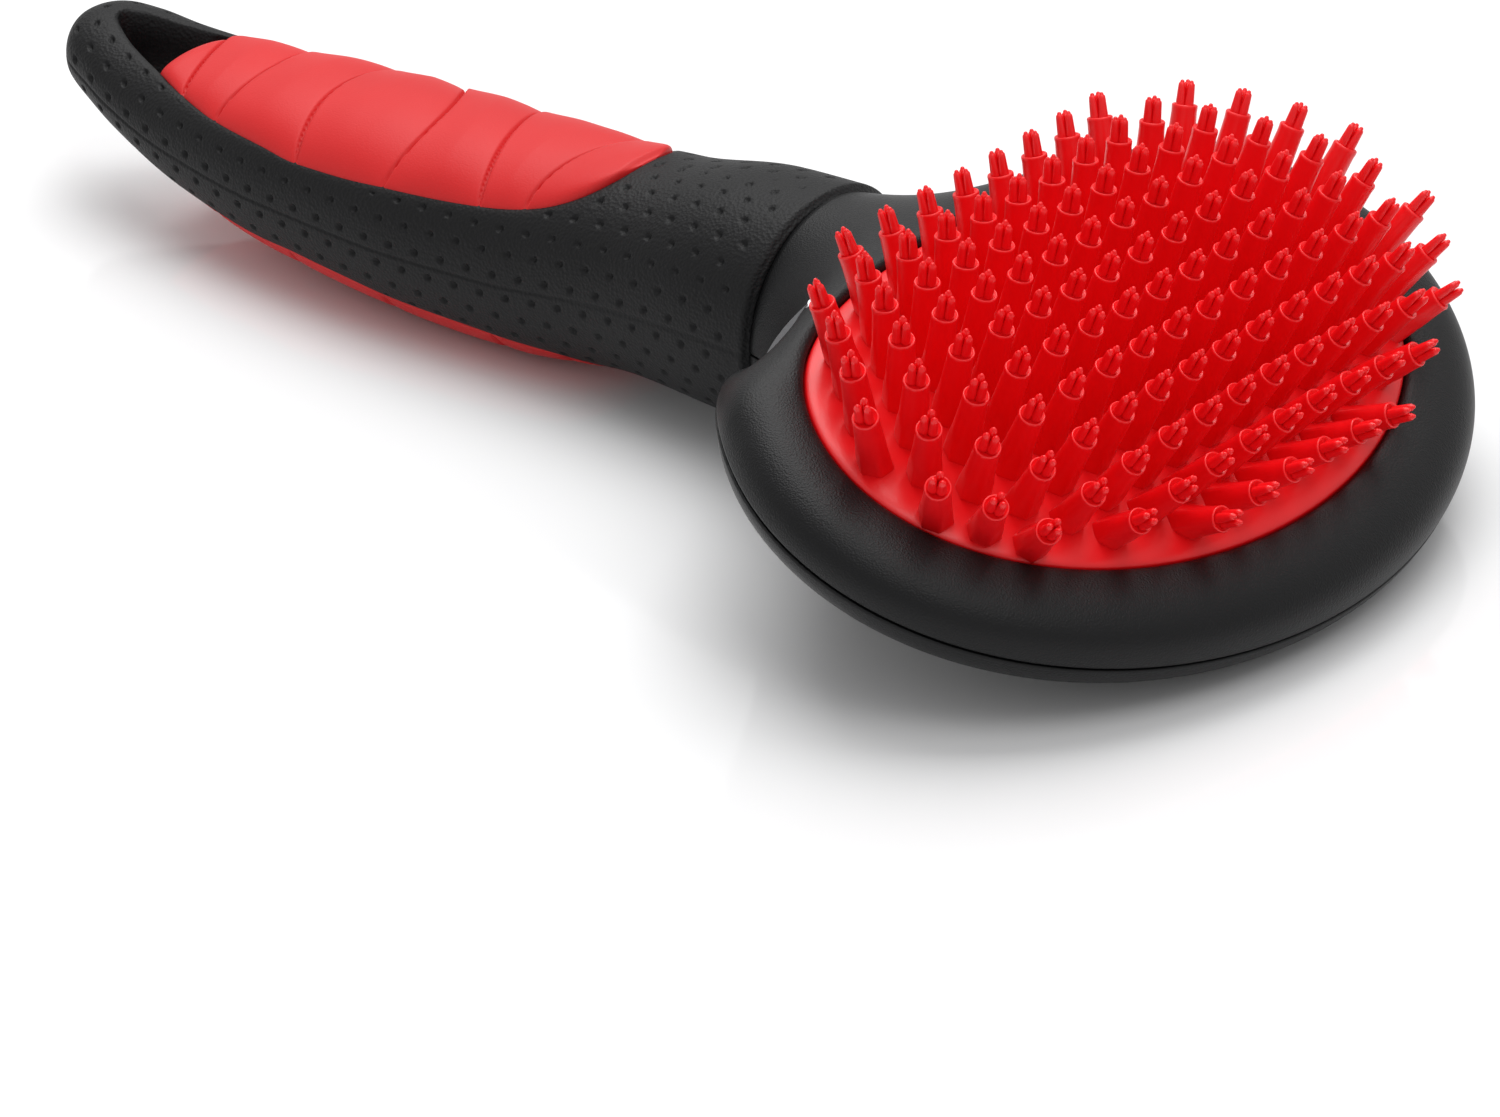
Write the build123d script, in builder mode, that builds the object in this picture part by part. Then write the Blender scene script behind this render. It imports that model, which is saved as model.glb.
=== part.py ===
"""Rubber curry brush lying on its back, bristles up.

The oval head is a bezel and a back shell screwed together round a soft pad with rubber bristles.
The handle is a rigid core with a soft overmould that forms a loop, and a grip insert in the loop.
X runs from the hanging end to the nose of the head, Z is up, and the brush rests on Z = 0.
"""

import os
from math import cos, hypot, radians, sin

from build123d import *

# ---------------------------------------------------------------- driving dimensions (mm, degrees)
OVERALL_LENGTH = 199.7

# Head: an oval wider than it is long, tipped nose down when the brush lies on its back.
HEAD_TILT = 21.7
RIM_X, RIM_Y = 39.5, 53.6  # semi-axes of the rim, where bezel and back shell part
BACK_DEPTH = 13.4  # depth of the domed back below the rim
RIM_BULGE = 0.6  # the bezel stands this far outside the rim line at its widest
SHELL_WALL = 2.0

# Pad opening and the soft pad
PAD_X, PAD_Y = 30.2, 44.1  # semi-axes towards the nose and the sides
PAD_NECK_LIMIT = 28.65  # flattens the outline towards the neck
PAD_CLEARANCE = 0.45
PAD_SHIFT = -1.0  # the opening sits a little towards the neck
PAD_EDGE_Z = 5.6  # where the pad comes out of the bezel, above the rim
DOME_HEIGHT = 3.2
OUTLINE_STEPS = 36
FLANGE_WIDTH = 2.2
FLANGE_BOTTOM, FLANGE_TOP = 2.2, 3.8
LIP_Z = 4.3  # underside of the bezel at the edge of the pad opening

# Bristles: staggered rows across the head, from the neck side to the nose
ROW_COUNTS = (8, 11, 12, 13, 14, 13, 14, 13, 12, 9, 6)
PITCH_Y = 6.28
PITCH_X = 4.75
ROW_CROWDING = 0.0035  # rows draw together towards the edges of the dome
BRISTLE_SHIFT = 1.4
BRISTLE_ROOT_R, BRISTLE_SHOULDER_R, PRONG_CLUSTER_R = 2.0, 1.55, 1.15
BRISTLE_LENGTH, PRONG_LENGTH = 13.7, 2.9

# Bristle tips fan out from the roots and lie on a shallow saddle that drops at its ends
TIP_PITCH_X, TIP_PITCH_Y = 5.46, 6.3
TIP_SPREAD_X, TIP_SPREAD_Y, TIP_SPREAD_CROSS = 0.0025, 0.0033, 0.0016
TIP_HEIGHT = 21.0  # tip of the middle bristle above the rim
TIP_DROP_X, TIP_RISE_Y, TIP_DROP_ENDS, TIP_DROP_CORNERS, TIP_DROP_NOSE = 0.16, 0.0875, 0.0038, 0.0069, 0.0145

# Plate under the pad and the screws that hold it
PLATE_BOTTOM, PLATE_TOP = 0.2, 2.2
PLATE_GROWTH = 5.0  # from the pad outline out to the edge of the plate
PLATE_SCREW_ANGLES = (30, 90, 150, 210, 270, 330)
PLATE_SCREW_GROWTH = 3.2  # from the pad outline out to the screws
SCREW_R, SCREW_HEAD_R, SCREW_HEAD_H, SCREW_LENGTH = 1.0, 1.7, 1.2, 4.0
BOSS_R = 1.9

# Handle: stations along X, as (x, half width, lowest z, highest z)
HANDLE_STATIONS = (
    (-98.8, 4.2, 14.8, 21.8),
    (-96.4, 7.0, 12.9, 22.9),
    (-92.0, 8.9, 11.2, 23.0),
    (-86.4, 10.4, 9.1, 22.3),
    (-73.4, 12.9, 4.9, 22.6),
    (-56.4, 15.0, 1.8, 24.3),
    (-38.4, 15.7, 0.5, 25.7),
    (-20.4, 14.8, 0.3, 27.0),
    (-3.4, 14.1, 2.7, 28.5),
    (11.6, 14.7, 3.1, 31.0),
    (22.0, 15.2, 2.5, 32.9),
)
TIP_HALF_WIDTH = 1.2
WINDOW_OUTLINE = (
    (-93.4, 0.0),
    (-91.0, 2.6),
    (-85.4, 5.2),
    (-74.3, 9.1),
    (-58.0, 12.5),
    (-44.0, 13.4),
    (-25.0, 12.3),
    (-12.0, 9.6),
    (-5.4, 0.0),
)
INSERT_START_X = -81.0
INSERT_CROWN = 0.5  # the grip stands proud of the frame round it
INSERT_LOWEST = 0.3
HOLE_IN_CORE = ((-80.0, 8.0), (-85.7, 6.2), (-91.6, 3.5), (-94.4, 0.0))
CORE_STATIONS = (
    (-98.0, 2.3, 16.6, 20.0),
    (-96.0, 5.0, 15.9, 20.0),
    (-92.0, 6.9, 14.7, 19.5),
    (-86.4, 8.5, 13.0, 18.4),
    (-79.0, 9.4, 11.4, 17.4),
    (-73.4, 9.0, 10.6, 16.9),
    (-56.4, 8.0, 9.6, 16.5),
    (-38.4, 8.0, 9.4, 16.5),
    (-20.4, 8.0, 9.9, 17.1),
    (-3.4, 8.0, 11.6, 19.6),
    (17.0, 8.0, 12.8, 21.6),
)
COLLAR_X = 22.0

# Neck
TANG_START_X, TANG_END_X = 11.0, 44.0
TANG_R = 6.0
NECK_SPIGOT, NECK_SPIGOT_R = 4.0, 12.4
NECK_STATIONS = (
    (30.0, 19.0, 3.0, 33.4),
    (38.0, 24.0, 3.4, 31.6),
    (48.0, 24.0, 4.4, 24.0),
    (60.0, 17.0, 6.0, 17.6),
)
NECK_PARTING_Z = 17.4
NECK_SCREW_X, NECK_SCREW_Y = 29.0, 10.0
NECK_SCREW_R, NECK_SCREW_HEAD_R, NECK_SCREW_HEAD_H = 1.4, 2.6, 1.8
NECK_SCREW_WELL_R = 2.8
NECK_SCREW_HEAD_Z, NECK_SCREW_TOP_Z = 8.0, 25.0
TANG_PIN_X, TANG_PIN_R, TANG_PIN_REACH = 34.0, 1.5, 12.0

# ---------------------------------------------------------------- derived places
TILT = radians(HEAD_TILT)
NOSE_REACH = RIM_X * cos(TILT) + RIM_BULGE
HEAD_X = OVERALL_LENGTH / 2 - NOSE_REACH
HEAD_Z = hypot(RIM_X * sin(TILT), BACK_DEPTH * cos(TILT))
HEAD = Plane(origin=(HEAD_X, 0, HEAD_Z), x_dir=(cos(TILT), 0, -sin(TILT)), z_dir=(sin(TILT), 0, cos(TILT)))
TIP_X = -OVERALL_LENGTH / 2


def head_plane(height, shift=0.0):
    """The plane parallel to the rim at a height above it, shifted along the head."""
    return Plane(origin=HEAD.from_local_coords((shift, 0, height)), x_dir=HEAD.x_dir, z_dir=HEAD.z_dir)


def cross_plane(x, z):
    """A plane across the handle, with its X along the width."""
    return Plane(origin=(x, 0, z), x_dir=(0, 1, 0), z_dir=(1, 0, 0))


def oval(plane, semi_x, semi_y):
    """An oval face on a plane."""
    with BuildSketch(plane, mode=Mode.PRIVATE) as face:
        Ellipse(semi_x, semi_y)
    return face.sketch


def circles(plane, points, radius):
    """Round faces on a plane at the points."""
    with BuildSketch(plane, mode=Mode.PRIVATE) as face:
        with Locations(*points):
            Circle(radius)
    return face.sketch


def pad_point(angle, growth=0.0, share=1.0):
    """A point of the pad's outline: oval towards the nose, blunter towards the neck."""
    along = (PAD_X + growth) * cos(angle)
    if along < 0:
        along /= (1 + (-along / (PAD_NECK_LIMIT + growth)) ** 4) ** 0.25
    return (PAD_SHIFT + along * share, (PAD_Y + growth) * sin(angle) * share)


def pad_loop(height, growth=0.0, share=1.0):
    """A face inside the pad's outline."""
    points = [pad_point(radians(360 * step / OUTLINE_STEPS), growth, share) for step in range(OUTLINE_STEPS)]
    with BuildSketch(head_plane(height), mode=Mode.PRIVATE) as face:
        with BuildLine():
            Spline(*points, periodic=True)
        make_face()
    return face.sketch


def head_ovals(sections):
    """Ovals parallel to the rim, from (height above the rim, shift, semi-axis X, semi-axis Y)."""
    return [oval(head_plane(height, shift), semi_x, semi_y) for height, shift, semi_x, semi_y in sections]


def station_ovals(stations):
    """Ovals across the handle, from (x, half width, lowest z, highest z)."""
    return [
        oval(cross_plane(x, (low + high) / 2), half_width, (high - low) / 2)
        for x, half_width, low, high in stations
    ]


DOME_STEPS = (0.0, 0.25, 0.5, 0.72, 0.88, 0.97)


def dome_sections(semi_x, semi_y, depth):
    """Ovals of a half ellipsoid that hangs below the rim."""
    shares = [(1 - step**2) ** 0.5 for step in DOME_STEPS]
    return [(-depth * step, 0, semi_x * share, semi_y * share) for step, share in zip(DOME_STEPS, shares)]


# ---------------------------------------------------------------- head outside, shared by both shells
BEZEL_PROFILE = ((0.0, 0.0), (1.6, RIM_BULGE), (3.4, -0.4), (5.0, -2.6), (6.1, -5.4), (6.3, -7.6))


def bezel_sections(inset, drop):
    """Ovals up the bezel, inset and dropped for the inside of the wall."""
    return [
        (height - drop, PAD_SHIFT * height / PAD_EDGE_Z, RIM_X + out - inset, RIM_Y + out - inset)
        for height, out in BEZEL_PROFILE
    ]


with BuildPart() as neck_body:
    loft(station_ovals(((COLLAR_X, 15.0, 2.7, 32.7),) + NECK_STATIONS))
    with BuildSketch(cross_plane(COLLAR_X, NECK_PARTING_Z)):
        Circle(NECK_SPIGOT_R)
    extrude(amount=-NECK_SPIGOT)

# Everything above the parting: level at the neck, a ramp up the shoulders, then the tilted rim
with BuildPart() as upper_zone:
    with BuildSketch(Plane.XZ):
        with BuildLine():
            Polyline(
                (COLLAR_X - 20, NECK_PARTING_Z),
                (COLLAR_X + 4, NECK_PARTING_Z),
                (HEAD_X - 24 * cos(TILT), HEAD_Z + 24 * sin(TILT)),
                (HEAD_X + 50 * cos(TILT), HEAD_Z - 50 * sin(TILT)),
                (HEAD_X + 50, HEAD_Z + 60),
                (COLLAR_X - 20, HEAD_Z + 60),
                close=True,
            )
        make_face()
    extrude(amount=RIM_Y + 10, both=True)

# ---------------------------------------------------------------- handle core
def mirrored(outline):
    """An outline's points followed by the same points on the other side, in order."""
    return list(outline) + [(x, -y) for x, y in reversed(outline) if y]


with BuildPart() as window:
    with BuildSketch(Plane.XY.offset(-5)):
        with BuildLine():
            Spline(*mirrored(WINDOW_OUTLINE[1:]), WINDOW_OUTLINE[0], periodic=True)
        make_face()
    extrude(amount=50)

with BuildPart() as hole_in_core:
    with BuildSketch(Plane.XY):
        with BuildLine():
            Spline(*mirrored(HOLE_IN_CORE))
            Line(HOLE_IN_CORE[0], mirrored(HOLE_IN_CORE)[-1])
        make_face()
    extrude(amount=40)

# The core runs as a flat bar through the grip and splits into a ring round the hanging hole
with BuildPart() as handle_core:
    loft(station_ovals(CORE_STATIONS))
    add(hole_in_core.part, mode=Mode.SUBTRACT)
    with BuildSketch(cross_plane(TANG_START_X, NECK_PARTING_Z)):
        Circle(TANG_R)
    extrude(amount=TANG_END_X - TANG_START_X)
    with BuildSketch(Plane.XZ):
        with Locations((TANG_PIN_X, NECK_PARTING_Z)):
            Circle(TANG_PIN_R)
    extrude(amount=TANG_R * 2, both=True, mode=Mode.SUBTRACT)

# ---------------------------------------------------------------- soft overmould and grip insert
TIP_MIDDLE_Z = (HANDLE_STATIONS[0][2] + HANDLE_STATIONS[0][3]) / 2
TIP_STATION = (TIP_X, TIP_HALF_WIDTH, TIP_MIDDLE_Z - TIP_HALF_WIDTH, TIP_MIDDLE_Z + TIP_HALF_WIDTH)

with BuildPart() as handle_overmould:
    loft(station_ovals((TIP_STATION,) + HANDLE_STATIONS))
    add(window.part, mode=Mode.SUBTRACT)
    add(handle_core.part, mode=Mode.SUBTRACT)
    with BuildSketch(cross_plane(COLLAR_X, NECK_PARTING_Z)):
        Circle(NECK_SPIGOT_R)
    extrude(amount=-NECK_SPIGOT, mode=Mode.SUBTRACT)

INSERT_STATIONS = [
    (x, half_width, max(low - INSERT_CROWN, INSERT_LOWEST), high + INSERT_CROWN)
    for x, half_width, low, high in HANDLE_STATIONS
]

with BuildPart() as grip_insert:
    loft(station_ovals(INSERT_STATIONS))
    add(window.part, mode=Mode.INTERSECT)
    split(bisect_by=Plane(origin=(INSERT_START_X, 0, 0), z_dir=(1, 0, 0)), keep=Keep.TOP)
    add(handle_core.part, mode=Mode.SUBTRACT)

# ---------------------------------------------------------------- bezel and back shell
PLATE_SCREW_POINTS = [pad_point(radians(angle), PLATE_SCREW_GROWTH) for angle in PLATE_SCREW_ANGLES]
NECK_SCREW_POINTS = ((NECK_SCREW_X, NECK_SCREW_Y), (NECK_SCREW_X, -NECK_SCREW_Y))

NECK_SCREW_SEAT = Plane.XY.offset(NECK_SCREW_HEAD_Z)
NECK_SCREW_REACH = NECK_SCREW_TOP_Z - NECK_SCREW_HEAD_Z

with BuildPart() as neck_screws:
    extrude(circles(NECK_SCREW_SEAT, NECK_SCREW_POINTS, NECK_SCREW_R), amount=NECK_SCREW_REACH)
    extrude(circles(NECK_SCREW_SEAT, NECK_SCREW_POINTS, NECK_SCREW_HEAD_R), amount=-NECK_SCREW_HEAD_H)

with BuildPart() as neck_screw_wells:
    extrude(circles(NECK_SCREW_SEAT, NECK_SCREW_POINTS, NECK_SCREW_WELL_R), amount=-NECK_SCREW_HEAD_Z)

with BuildPart() as tang_pin:
    with BuildSketch(Plane.XZ):
        with Locations((TANG_PIN_X, NECK_PARTING_Z)):
            Circle(TANG_PIN_R)
    extrude(amount=TANG_PIN_REACH, both=True)

with BuildPart() as plate_screws:
    extrude(circles(head_plane(PLATE_BOTTOM), PLATE_SCREW_POINTS, SCREW_R), amount=SCREW_LENGTH)
    extrude(circles(head_plane(PLATE_BOTTOM), PLATE_SCREW_POINTS, SCREW_HEAD_R), amount=-SCREW_HEAD_H)

with BuildPart() as back_dome:
    add(neck_body.part)
    loft(head_ovals(dome_sections(RIM_X, RIM_Y, BACK_DEPTH)))

with BuildPart() as back_cavity:
    loft(head_ovals(dome_sections(RIM_X - SHELL_WALL, RIM_Y - SHELL_WALL, BACK_DEPTH - SHELL_WALL)))

# The inside of the bezel narrows to the pad opening, which runs on past the top
with BuildPart() as bezel_void:
    loft(
        head_ovals(bezel_sections(SHELL_WALL, SHELL_WALL)[:-1])
        + [pad_loop(LIP_Z, PAD_CLEARANCE), pad_loop(LIP_Z + 8, PAD_CLEARANCE)],
        ruled=True,
    )

with BuildPart() as bezel_ring:
    loft(head_ovals(bezel_sections(0, 0)))
    add(bezel_void.part, mode=Mode.SUBTRACT)

with BuildPart() as head_bezel:
    add(back_dome.part)
    add(upper_zone.part, mode=Mode.INTERSECT)
    add(back_cavity.part, mode=Mode.SUBTRACT)
    add(bezel_void.part, mode=Mode.SUBTRACT)
    add(bezel_ring.part)
    extrude(circles(head_plane(PLATE_TOP), PLATE_SCREW_POINTS, BOSS_R), amount=SHELL_WALL)
    for piece in (handle_core, neck_screws, tang_pin, plate_screws):
        add(piece.part, mode=Mode.SUBTRACT)

with BuildPart() as head_back_shell:
    add(back_dome.part)
    add(upper_zone.part, mode=Mode.SUBTRACT)
    add(back_cavity.part, mode=Mode.SUBTRACT)
    add(bezel_void.part, mode=Mode.SUBTRACT)
    for piece in (handle_core, neck_screws, neck_screw_wells, tang_pin):
        add(piece.part, mode=Mode.SUBTRACT)

# ---------------------------------------------------------------- pad, its plate and the bristles
with BuildPart() as pad_plate:
    extrude(pad_loop(PLATE_BOTTOM, PLATE_GROWTH), amount=PLATE_TOP - PLATE_BOTTOM)
    add(plate_screws.part, mode=Mode.SUBTRACT)


DOME_SHARES = (1.0, 0.97, 0.85, 0.6, 0.3)
BRISTLE_PLACES = [
    (row - 5, column - (count - 1) / 2) for row, count in enumerate(ROW_COUNTS) for column in range(count)
]


def dome_height(x, y):
    """Height of the pad's domed face above the rim."""
    inside = 1 - ((x - PAD_SHIFT) / PAD_X) ** 2 - (y / PAD_Y) ** 2
    return PAD_EDGE_Z + DOME_HEIGHT * max(inside, 0) ** 0.45


def bristle_root(row, place):
    """Root of a bristle on the dome, from its row and its place counted from the middle of the row."""
    x = BRISTLE_SHIFT + PITCH_X * row * (1 - ROW_CROWDING * row**2)
    y = PITCH_Y * place
    return Vector(x, y, dome_height(x, y))


def bristle_tip(row, place):
    """Tip of a bristle, fanned out from its root."""
    x = BRISTLE_SHIFT + TIP_PITCH_X * row * (1 + TIP_SPREAD_X * place**2)
    y = TIP_PITCH_Y * place * (1 + TIP_SPREAD_Y * place**2 + TIP_SPREAD_CROSS * row**2)
    drop = TIP_DROP_X * row**2 - TIP_RISE_Y * place**2 + TIP_DROP_ENDS * place**4
    drop += TIP_DROP_CORNERS * (row * place) ** 2 + TIP_DROP_NOSE * row * place**2
    return Vector(x, y, TIP_HEIGHT - drop)


def bristle_location(row, place):
    """Where a bristle stands: its foot below its tip, its axis along the lean."""
    tip = bristle_tip(row, place)
    lean = (tip - bristle_root(row, place)).normalized()
    return HEAD.location * Plane(origin=tip - lean * BRISTLE_LENGTH, z_dir=lean).location


with BuildPart() as bristle:
    with BuildSketch(Plane.XZ):
        with BuildLine():
            Polyline(
                (0, 0),
                (BRISTLE_ROOT_R, 0),
                (BRISTLE_SHOULDER_R, BRISTLE_LENGTH - PRONG_LENGTH),
                (PRONG_CLUSTER_R, BRISTLE_LENGTH - PRONG_LENGTH),
                (PRONG_CLUSTER_R, BRISTLE_LENGTH),
                (0, BRISTLE_LENGTH),
                close=True,
            )
        make_face()
    revolve(axis=Axis.Z)

with BuildPart() as bristle_pad:
    extrude(pad_loop(FLANGE_BOTTOM, FLANGE_WIDTH), amount=FLANGE_TOP - FLANGE_BOTTOM)
    boss_gaps = circles(head_plane(FLANGE_BOTTOM), PLATE_SCREW_POINTS, BOSS_R + PAD_CLEARANCE)
    extrude(boss_gaps, amount=FLANGE_TOP - FLANGE_BOTTOM, mode=Mode.SUBTRACT)
    extrude(pad_loop(FLANGE_TOP), amount=PAD_EDGE_Z - FLANGE_TOP)
    loft([pad_loop(PAD_EDGE_Z + DOME_HEIGHT * (1 - share**2) ** 0.45, 0, share) for share in DOME_SHARES])
    with Locations(*[bristle_location(row, place) for row, place in BRISTLE_PLACES]):
        add(bristle.part)

# ---------------------------------------------------------------- write each piece
PIECES = {
    "head_bezel": head_bezel,
    "head_back_shell": head_back_shell,
    "bristle_pad": bristle_pad,
    "pad_plate": pad_plate,
    "plate_screws": plate_screws,
    "neck_screws": neck_screws,
    "tang_pin": tang_pin,
    "handle_core": handle_core,
    "handle_overmould": handle_overmould,
    "grip_insert": grip_insert,
}
os.makedirs("parts", exist_ok=True)
for name, piece in PIECES.items():
    piece.part.label = name
    export_step(piece.part, f"parts/{name}.step")
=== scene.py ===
"""Rubber curry brush lying on its back on a white table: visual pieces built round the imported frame.

Lengths are in millimetres until a mesh is made. X runs to the nose of the head and Z is up.
"""

from math import cos, pi, radians, sin

import bmesh
import bpy
import numpy as np
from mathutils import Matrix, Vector


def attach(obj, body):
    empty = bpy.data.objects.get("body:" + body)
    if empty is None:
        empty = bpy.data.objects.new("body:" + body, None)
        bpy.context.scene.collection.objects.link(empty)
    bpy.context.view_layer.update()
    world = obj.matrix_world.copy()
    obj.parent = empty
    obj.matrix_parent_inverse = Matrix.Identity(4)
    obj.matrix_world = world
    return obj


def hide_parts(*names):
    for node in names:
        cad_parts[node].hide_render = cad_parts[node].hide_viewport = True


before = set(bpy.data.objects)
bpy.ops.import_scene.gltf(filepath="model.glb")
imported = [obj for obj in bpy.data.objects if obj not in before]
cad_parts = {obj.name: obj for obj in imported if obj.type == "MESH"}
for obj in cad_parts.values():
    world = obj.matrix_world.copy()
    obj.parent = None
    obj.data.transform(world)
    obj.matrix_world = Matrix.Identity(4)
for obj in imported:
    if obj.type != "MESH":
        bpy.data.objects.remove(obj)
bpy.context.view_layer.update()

MM = 0.001
WHOLE = 2 * pi

# ---------------------------------------------------------------- head frame
TILT = radians(21.7)
HEAD_ORIGIN = np.array([62.55, 0.0, 19.2])
HEAD_X = np.array([cos(TILT), 0.0, -sin(TILT)])
HEAD_Y = np.array([0.0, 1.0, 0.0])
HEAD_Z = np.array([sin(TILT), 0.0, cos(TILT)])
RIM_X, RIM_Y = 39.5, 53.6
BACK_DEPTH = 13.4
PAD_X, PAD_Y, PAD_SHIFT, PAD_EDGE_Z, DOME_HEIGHT = 30.2, 44.1, -1.0, 5.6, 3.2
PAD_NECK_LIMIT = 28.65

# ---------------------------------------------------------------- handle outline
# x, half width, middle height, half height
HANDLE = np.array([
    (-99.85, 0.0, 18.3, 0.0),
    (-98.8, 4.2, 18.2, 3.6),
    (-96.4, 7.0, 17.95, 5.0),
    (-92.0, 8.8, 17.1, 5.9),
    (-86.4, 10.4, 15.7, 6.6),
    (-73.4, 12.9, 13.75, 8.85),
    (-56.4, 15.0, 13.05, 11.25),
    (-38.4, 15.7, 13.05, 12.65),
    (-20.4, 14.8, 13.6, 13.35),
    (-3.4, 14.2, 15.7, 13.1),
    (11.6, 15.0, 17.2, 14.7),
    (22.15, 15.3, 17.45, 15.2),
])
ROUNDNESS = 0.9
# x, half width of the opening inside the loop
WINDOW = np.array([
    (-93.4, 0.0),
    (-92.8, 1.3),
    (-90.8, 2.7),
    (-88.2, 4.0),
    (-85.4, 5.1),
    (-80.7, 6.8),
    (-74.3, 9.1),
    (-67.0, 11.1),
    (-58.1, 12.5),
    (-51.1, 13.3),
    (-43.5, 13.45),
    (-37.0, 13.2),
    (-25.1, 12.3),
    (-14.0, 10.6),
    (-10.0, 9.0),
    (-6.6, 5.5),
    (-5.4, 0.0),
])
INSERT_START = -81.0
# each groove across the top of the grip: places across it, and x at each
GROOVES = (
    ((-9.1, -1.5, 5.1), (-74.3, -76.6, -79.3)),
    ((-11.1, -4.2, 1.7, 8.7), (-67.0, -66.5, -66.9, -68.1)),
    ((-13.2, -8.0, -2.2, 3.1, 9.4), (-51.2, -53.6, -54.6, -54.3, -54.0)),
    ((-13.3, -5.4, 4.5), (-37.1, -36.5, -39.9)),
    ((-12.0, -6.6, -0.8, 5.3, 9.3), (-22.4, -24.4, -26.5, -28.8, -30.0)),
    ((-10.9, -6.3, -1.7, 4.2, 8.1), (-15.9, -15.4, -14.4, -12.8, -11.8)),
)
BELLY_GROOVES = (-67.5, -53.0, -37.4, -20.8, -11.1)
COLLAR_X, COLLAR_Z = 22.15, 17.45


# ---------------------------------------------------------------- small helpers
def smoothstep(low, high, value):
    """0 below low, 1 above high, smooth between."""
    t = np.clip((np.asarray(value, float) - low) / (high - low), 0, 1)
    return t * t * (3 - 2 * t)


def curve_through(xs, ys, at):
    """A smooth curve through points that doesn't overshoot them."""
    xs, ys, at = np.asarray(xs, float), np.asarray(ys, float), np.asarray(at, float)
    step = np.diff(xs)
    slope = np.diff(ys) / step
    tangent = np.zeros_like(xs)
    same = slope[:-1] * slope[1:] > 0
    w1, w2 = 2 * step[1:] + step[:-1], step[1:] + 2 * step[:-1]
    safe_a, safe_b = np.where(same, slope[:-1], 1), np.where(same, slope[1:], 1)
    tangent[1:-1] = np.where(same, (w1 + w2) / (w1 / safe_a + w2 / safe_b), 0)
    tangent[0], tangent[-1] = slope[0], slope[-1]
    i = np.clip(np.searchsorted(xs, at) - 1, 0, len(step) - 1)
    t = np.clip((at - xs[i]) / step[i], 0, 1)
    rise = (1 + 2 * t) * (1 - t) ** 2 * ys[i] + t * t * (3 - 2 * t) * ys[i + 1]
    return rise + step[i] * (t * (1 - t) ** 2 * tangent[i] - t * t * (1 - t) * tangent[i + 1])


def from_head(points):
    """Head-frame points in the row frame."""
    points = np.asarray(points, float)
    return HEAD_ORIGIN + points[..., :1] * HEAD_X + points[..., 1:2] * HEAD_Y + points[..., 2:3] * HEAD_Z


def grid_faces(rows, columns, wrap=False):
    """Quads over a grid of vertices, wrapping round the columns if asked."""
    count = columns if wrap else columns - 1
    r, c = np.meshgrid(np.arange(rows - 1), np.arange(count), indexing="ij")
    right = (c + 1) % columns
    here, above = r * columns, (r + 1) * columns
    quads = np.stack([here + c, here + right, above + right, above + c], -1)
    return quads.reshape(-1, 4).tolist()


def make_piece(name, patches, material, node=None, weld=0.004):
    """One smooth mesh from patches of (vertices in mm, faces), riding on the brush."""
    vertices, faces, start = [], [], 0
    for points, quads in patches:
        points = np.asarray(points, float).reshape(-1, 3)
        vertices.append(points)
        faces += [[index + start for index in quad] for quad in quads]
        start += len(points)
    mesh = bpy.data.meshes.new(name)
    mesh.from_pydata((np.concatenate(vertices) * MM).tolist(), [], faces)
    piece = bpy.data.objects.new(name, mesh)
    bpy.context.scene.collection.objects.link(piece)
    tidy_mesh(mesh, weld * MM)
    mesh.materials.append(material)
    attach(piece, "root")
    if node:
        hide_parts(node)
    return piece


def tidy_mesh(mesh, weld):
    """Welds the seams between patches, drops flat faces and turns every face outwards."""
    work = bmesh.new()
    work.from_mesh(mesh)
    bmesh.ops.remove_doubles(work, verts=work.verts, dist=weld)
    bmesh.ops.dissolve_degenerate(work, edges=work.edges, dist=weld)
    loose = [vertex for vertex in work.verts if not vertex.link_faces]
    bmesh.ops.delete(work, geom=loose, context="VERTS")
    bmesh.ops.recalc_face_normals(work, faces=work.faces)
    work.to_mesh(mesh)
    work.free()
    mesh.polygons.foreach_set("use_smooth", [True] * len(mesh.polygons))


# ---------------------------------------------------------------- materials
NEAR_BLACK = (0.0045, 0.0045, 0.005)


def new_material(name, colour, roughness, specular=0.5):
    """A principled material and its node tools."""
    material = bpy.data.materials.new(name)
    material.use_nodes = True
    nodes, links = material.node_tree.nodes, material.node_tree.links
    shader = nodes["Principled BSDF"]
    shader.inputs["Base Color"].default_value = (*colour, 1)
    shader.inputs["Roughness"].default_value = roughness
    shader.inputs["Specular IOR Level"].default_value = specular
    return material, nodes, links, shader


def texture(nodes, links, kind, scale, **sockets):
    """A texture node on object coordinates, with features 1/scale metres across."""
    place = nodes.new("ShaderNodeTexCoord")
    node = nodes.new(kind)
    links.new(place.outputs["Object"], node.inputs["Vector"])
    node.inputs["Scale"].default_value = scale
    for socket, value in sockets.items():
        node.inputs[socket].default_value = value
    return node


def add_bumps(nodes, links, shader, heights):
    """Chained bumps from (output, distance in mm, strength)."""
    normal = None
    for output, distance, strength in heights:
        bump = nodes.new("ShaderNodeBump")
        bump.inputs["Distance"].default_value = distance * MM
        bump.inputs["Strength"].default_value = strength
        links.new(output, bump.inputs["Height"])
        if normal:
            links.new(normal, bump.inputs["Normal"])
        normal = bump.outputs["Normal"]
    links.new(normal, shader.inputs["Normal"])


def vary(nodes, links, source, socket, low, high):
    """Drives a socket between two values with a texture."""
    ramp = nodes.new("ShaderNodeMapRange")
    ramp.inputs["To Min"].default_value = low
    ramp.inputs["To Max"].default_value = high
    links.new(source, ramp.inputs["Value"])
    links.new(ramp.outputs["Result"], socket)


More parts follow.
